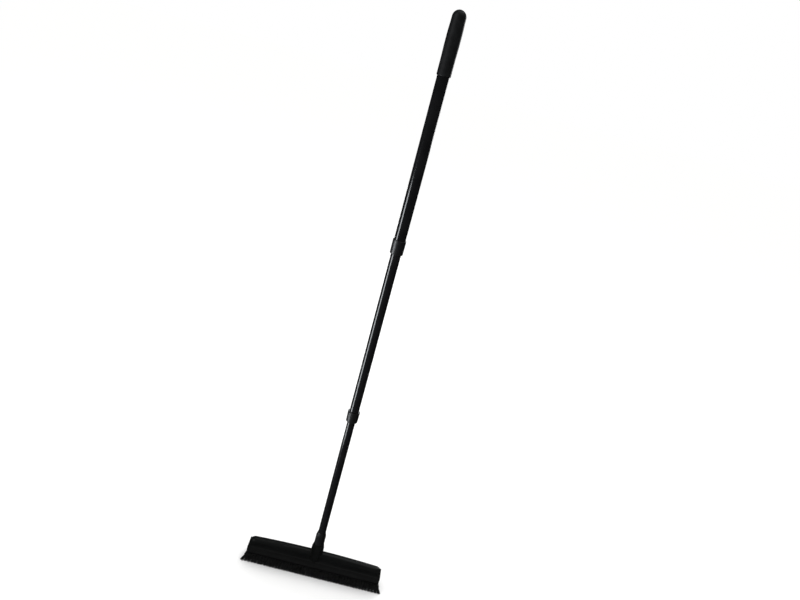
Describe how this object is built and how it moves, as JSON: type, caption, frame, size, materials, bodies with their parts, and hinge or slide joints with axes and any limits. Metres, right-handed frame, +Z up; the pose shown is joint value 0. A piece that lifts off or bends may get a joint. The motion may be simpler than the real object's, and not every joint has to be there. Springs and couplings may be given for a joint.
{
  "type": "telescopic snow brush with scraper",
  "caption": "Wide snow brush with a front scraper lip and short bristles on a telescopic, twist-lock round pole with a domed grip.",
  "frame": {"origin": "on the pole's axis, in the plane of the bristle tips", "axes": "+Z up the pole towards the grip, X along the head, -Y the side of the scraper lip"},
  "size_m": [0.3678, 0.0519, 1.371],
  "materials": {
    "grip_plastic": "satin",
    "pole_paint": "gloss",
    "collar_plastic": "satin",
    "lock_plastic": "satin",
    "screw_steel": "satin",
    "tip_plastic": "satin",
    "head_plastic": "matte",
    "scraper_rubber": "matte",
    "block_plastic": "matte",
    "bristle_nylon": "satin"
  },
  "bodies": {
    "handle": {"grip": "grip_plastic", "upper_tube": "pole_paint", "upper_collar": "collar_plastic"},
    "upper_cam": {"upper_lock_cam": "lock_plastic"},
    "middle_section": {"middle_tube": "pole_paint", "lower_collar": "collar_plastic", "upper_lock_plug": "lock_plastic", "upper_lock_cap": "lock_plastic", "upper_lock_screw": "screw_steel"},
    "lower_cam": {"lower_lock_cam": "lock_plastic"},
    "lower_section": {"lower_tube": "pole_paint", "lower_lock_plug": "lock_plastic", "lower_lock_cap": "lock_plastic", "lower_lock_screw": "screw_steel", "threaded_tip": "tip_plastic", "socket_insert": "tip_plastic", "head_shell": "head_plastic", "scraper_blade": "scraper_rubber", "bristle_block": "block_plastic", "block_screws": "screw_steel", "bristle_row_1": "bristle_nylon", "bristle_row_2": "bristle_nylon", "bristle_row_3": "bristle_nylon", "bristle_row_4": "bristle_nylon", "bristle_row_5": "bristle_nylon", "corner_tufts": "bristle_nylon"}
  },
  "joints": [
    {"name": "upper_slide", "type": "slide", "parent": "handle", "child": "upper_cam", "axis": [0, 0, 1], "range_m": [0, 0.371]},
    {"name": "upper_twist", "type": "hinge", "parent": "upper_cam", "child": "middle_section", "pos_m": [0, 0, 0.95], "axis": [0, 0, 1], "range_deg": [0, 90]},
    {"name": "lower_slide", "type": "slide", "parent": "middle_section", "child": "lower_cam", "axis": [0, 0, 1], "range_m": [0, 0.331]},
    {"name": "lower_twist", "type": "hinge", "parent": "lower_cam", "child": "lower_section", "pos_m": [0, 0, 0.5], "axis": [0, 0, 1], "range_deg": [0, 90]}
  ]
}
